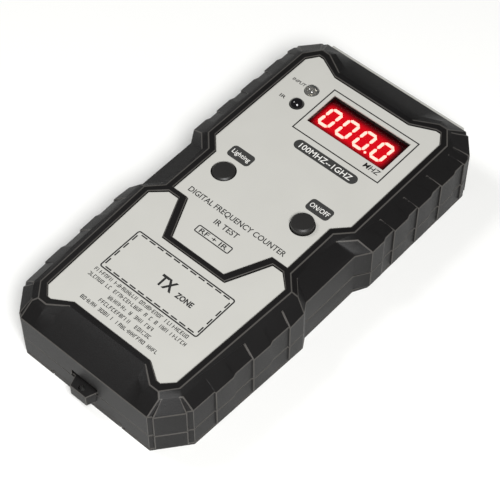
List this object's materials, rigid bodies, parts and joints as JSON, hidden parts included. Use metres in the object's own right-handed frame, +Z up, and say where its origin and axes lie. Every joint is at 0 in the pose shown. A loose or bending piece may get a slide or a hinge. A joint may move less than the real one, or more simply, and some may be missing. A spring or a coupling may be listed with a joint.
{
  "type": "handheld frequency counter",
  "caption": "Hand-held battery frequency counter: waisted two-part case with plated grips, printed face labels, red numeric display, push buttons, sensor lamps and a lanyard lug.",
  "frame": {"origin": "middle of the face it rests on, at the centre of the overall length and width", "axes": "+Y along the length towards the display end, +X to the right, +Z up through the labels"},
  "size_m": [0.0772, 0.1576, 0.0259],
  "materials": {
    "case_black": "satin moulded ABS with a fine texture",
    "panel_grey": "satin moulded ABS",
    "label_grey": "satin printed overlay",
    "window_red": "polished red acrylic",
    "module_black": "moulded",
    "digit_cream": "lit segments",
    "cap_black": "satin moulded ABS",
    "switch_white": "moulded",
    "plunger_black": "moulded acetal",
    "lamp_dark": "moulded epoxy",
    "lamp_clear": "moulded epoxy",
    "board_green": "solder mask on glass epoxy",
    "chip_black": "moulded epoxy",
    "can_metal": "drawn can",
    "capacitor_sleeve": "shrunk sleeve",
    "resistor_black": "fired film",
    "ferrite_grey": "sintered",
    "winding_copper": "enamelled wire",
    "clip_white": "moulded",
    "screw_steel": "black zinc",
    "battery_jacket": "printed jacket",
    "terminal_nickel": "nickel plate",
    "snap_black": "moulded",
    "lead_red": "extruded insulation",
    "lead_black": "extruded insulation",
    "foam_grey": "cut foam"
  },
  "bodies": {
    "case": {"top_case": "case_black", "bottom_case": "case_black", "end_panel": "panel_grey", "upper_label": "label_grey", "lower_label": "label_grey", "display_window": "window_red", "display_module": "module_black", "display_digits": "digit_cream", "power_switch": "switch_white", "lighting_switch": "switch_white", "ir_receiver": "lamp_dark", "input_lamp": "lamp_clear", "torch_lamp_right": "lamp_clear", "torch_lamp_left": "lamp_clear", "main_board": "board_green", "microcontroller": "chip_black", "prescaler": "chip_black", "regulator": "chip_black", "crystal": "can_metal", "capacitors": "capacitor_sleeve", "resistors": "resistor_black", "pickup_core": "ferrite_grey", "pickup_winding": "winding_copper", "core_clip_right": "clip_white", "core_clip_left": "clip_white", "case_screws": "screw_steel", "board_screws": "screw_steel", "battery": "battery_jacket", "battery_terminals": "terminal_nickel", "battery_snap": "snap_black", "lead_positive": "lead_red", "lead_negative": "lead_black", "battery_pad": "foam_grey"},
    "power_button": {"power_cap": "cap_black", "power_plunger": "plunger_black"},
    "lighting_button": {"lighting_cap": "cap_black", "lighting_plunger": "plunger_black"},
    "door": {"battery_door": "case_black", "door_pad": "foam_grey"}
  },
  "joints": [
    {"name": "power_press", "type": "slide", "parent": "case", "child": "power_button", "axis": [0, 0, 1], "range_m": [-0.0019, 0], "stiffness_N_per_m": 800},
    {"name": "lighting_press", "type": "slide", "parent": "case", "child": "lighting_button", "axis": [0, 0, 1], "range_m": [-0.0002, 0.0017], "stiffness_N_per_m": 800},
    {"name": "door_slide", "type": "slide", "parent": "case", "child": "door", "axis": [0, -1, 0], "range_m": [0, 0.058]}
  ]
}
